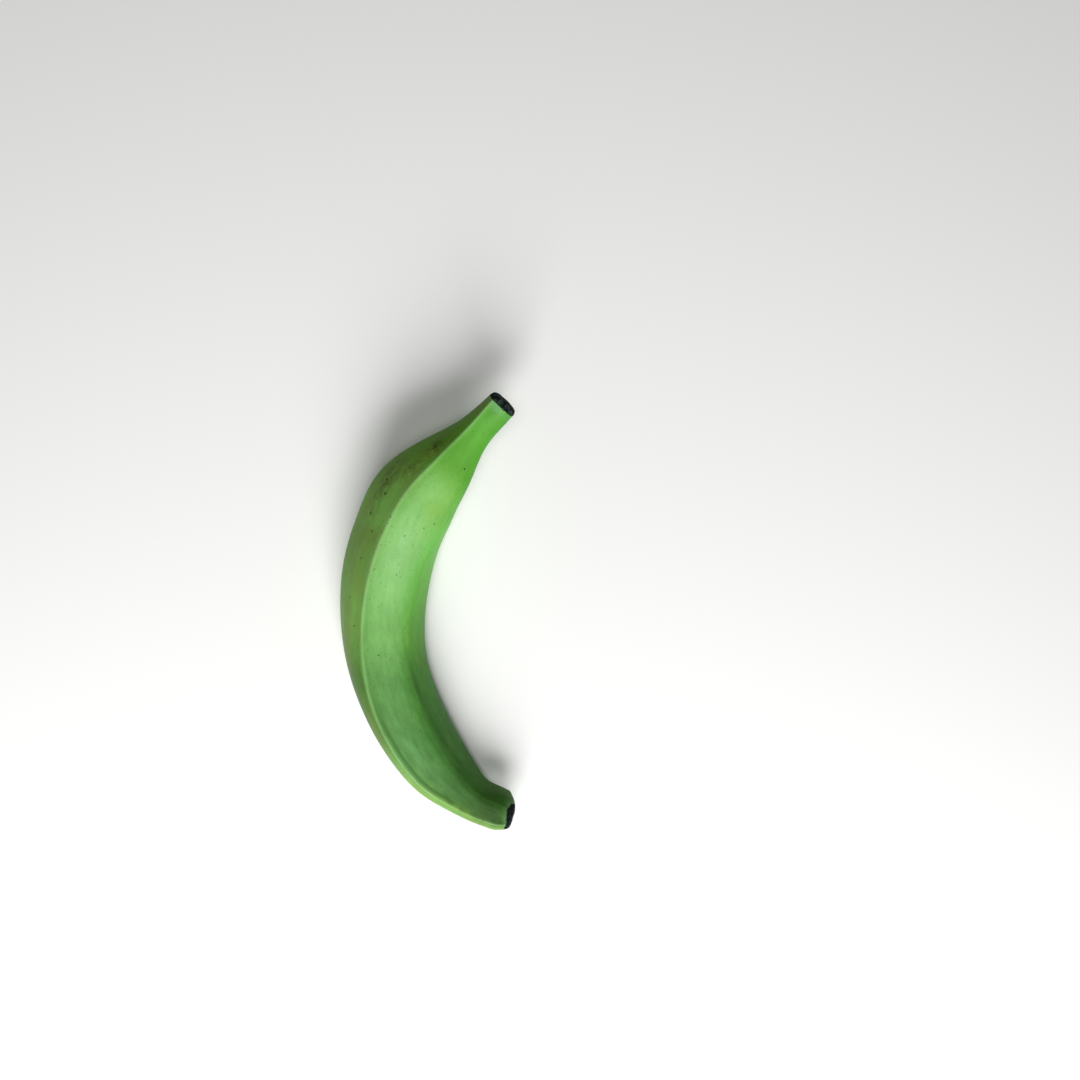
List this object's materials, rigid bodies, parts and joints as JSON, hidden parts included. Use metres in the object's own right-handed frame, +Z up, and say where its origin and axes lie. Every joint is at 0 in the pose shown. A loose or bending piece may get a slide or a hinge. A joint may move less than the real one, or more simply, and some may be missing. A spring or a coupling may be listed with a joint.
{
  "type": "plantain",
  "caption": "Green cooking plantain, one bent fruit with long blunt ridges, a tapering neck to its cut stem and a blunt dark blossom end, lying on its flank.",
  "frame": {"origin": "on the surface that the fruit lies on, under the middle of its bounding box", "axes": "+Z up, +Y towards the stem end, +X towards the inside of the bend"},
  "size_m": [0.1012, 0.2532, 0.0494],
  "materials": {
    "peel": "waxy satin green peel, with dry blackened skin at the cut stem and at the blossom end"
  },
  "bodies": {
    "root": {"plantain": "peel"}
  },
  "joints": []
}
